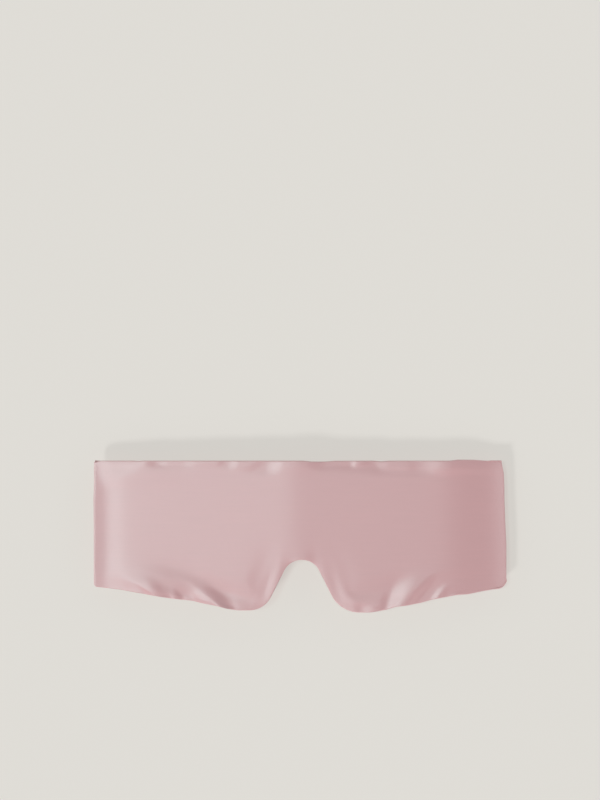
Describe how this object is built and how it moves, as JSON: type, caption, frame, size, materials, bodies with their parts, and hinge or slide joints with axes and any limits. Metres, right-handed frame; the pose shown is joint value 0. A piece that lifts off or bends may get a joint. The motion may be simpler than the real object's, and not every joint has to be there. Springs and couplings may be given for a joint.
{
  "type": "sleep eye mask",
  "caption": "Padded satin wrap-around sleep mask with a nose notch, folded flat as a closed loop with a hook-and-loop closure behind.",
  "frame": {"origin": "middle of the footprint, on the surface that the mask lies on", "axes": "+X to the right of the front pad, +Y towards its straight top edge, +Z out of its satin face"},
  "size_m": [0.2846, 0.105, 0.0186],
  "materials": {
    "rose_satin": "dusty rose satin, glossy float side out",
    "satin_lining": "dusty rose satin lining, same cloth",
    "wadding": "white polyester wadding",
    "interfacing": "white non-woven interfacing",
    "blackout_cloth": "matte black blackout cloth",
    "sewing_thread": "spun polyester sewing thread, matched to the satin",
    "loop_tape": "napped loop tape, dyed to match",
    "hook_tape": "moulded nylon hook tape, dyed to match"
  },
  "bodies": {
    "front_pad": {"front_satin": "rose_satin", "front_wadding": "wadding", "blackout_layer": "blackout_cloth", "face_wadding": "wadding", "face_lining": "satin_lining", "front_top_seam": "sewing_thread", "front_bottom_seam": "sewing_thread"},
    "left_wing": {"left_wing_satin": "rose_satin", "left_wing_wadding": "wadding", "left_wing_lining": "satin_lining", "left_wing_seam": "sewing_thread", "loop_strip": "loop_tape", "loop_strip_stitching": "sewing_thread"},
    "right_wing": {"right_wing_satin": "rose_satin", "right_wing_wadding": "wadding", "right_wing_lining": "satin_lining", "right_wing_seam": "sewing_thread"},
    "hook_tab": {"hook_tab_satin": "rose_satin", "hook_tab_interfacing": "interfacing", "hook_tab_lining": "satin_lining", "hook_tab_seam": "sewing_thread", "hook_patch": "hook_tape", "hook_patch_stitching": "sewing_thread"}
  },
  "joints": [
    {"name": "right_wing_fold", "type": "hinge", "parent": "front_pad", "child": "right_wing", "pos_m": [0.1425, 0, 0.009], "axis": [0, -1, 0], "range_deg": [0, 178]},
    {"name": "left_wing_fold", "type": "hinge", "parent": "front_pad", "child": "left_wing", "pos_m": [-0.1425, 0, 0.009], "axis": [0, 1, 0], "range_deg": [0, 178]},
    {"name": "closure_peel", "type": "hinge", "parent": "right_wing", "child": "hook_tab", "pos_m": [0.0075, 0.016, 0], "axis": [0, -1, 0], "range_deg": [0, 150]}
  ],
  "couplings": [
    {"joint": "left_wing_fold", "follows": "right_wing_fold", "ratio": 1}
  ]
}
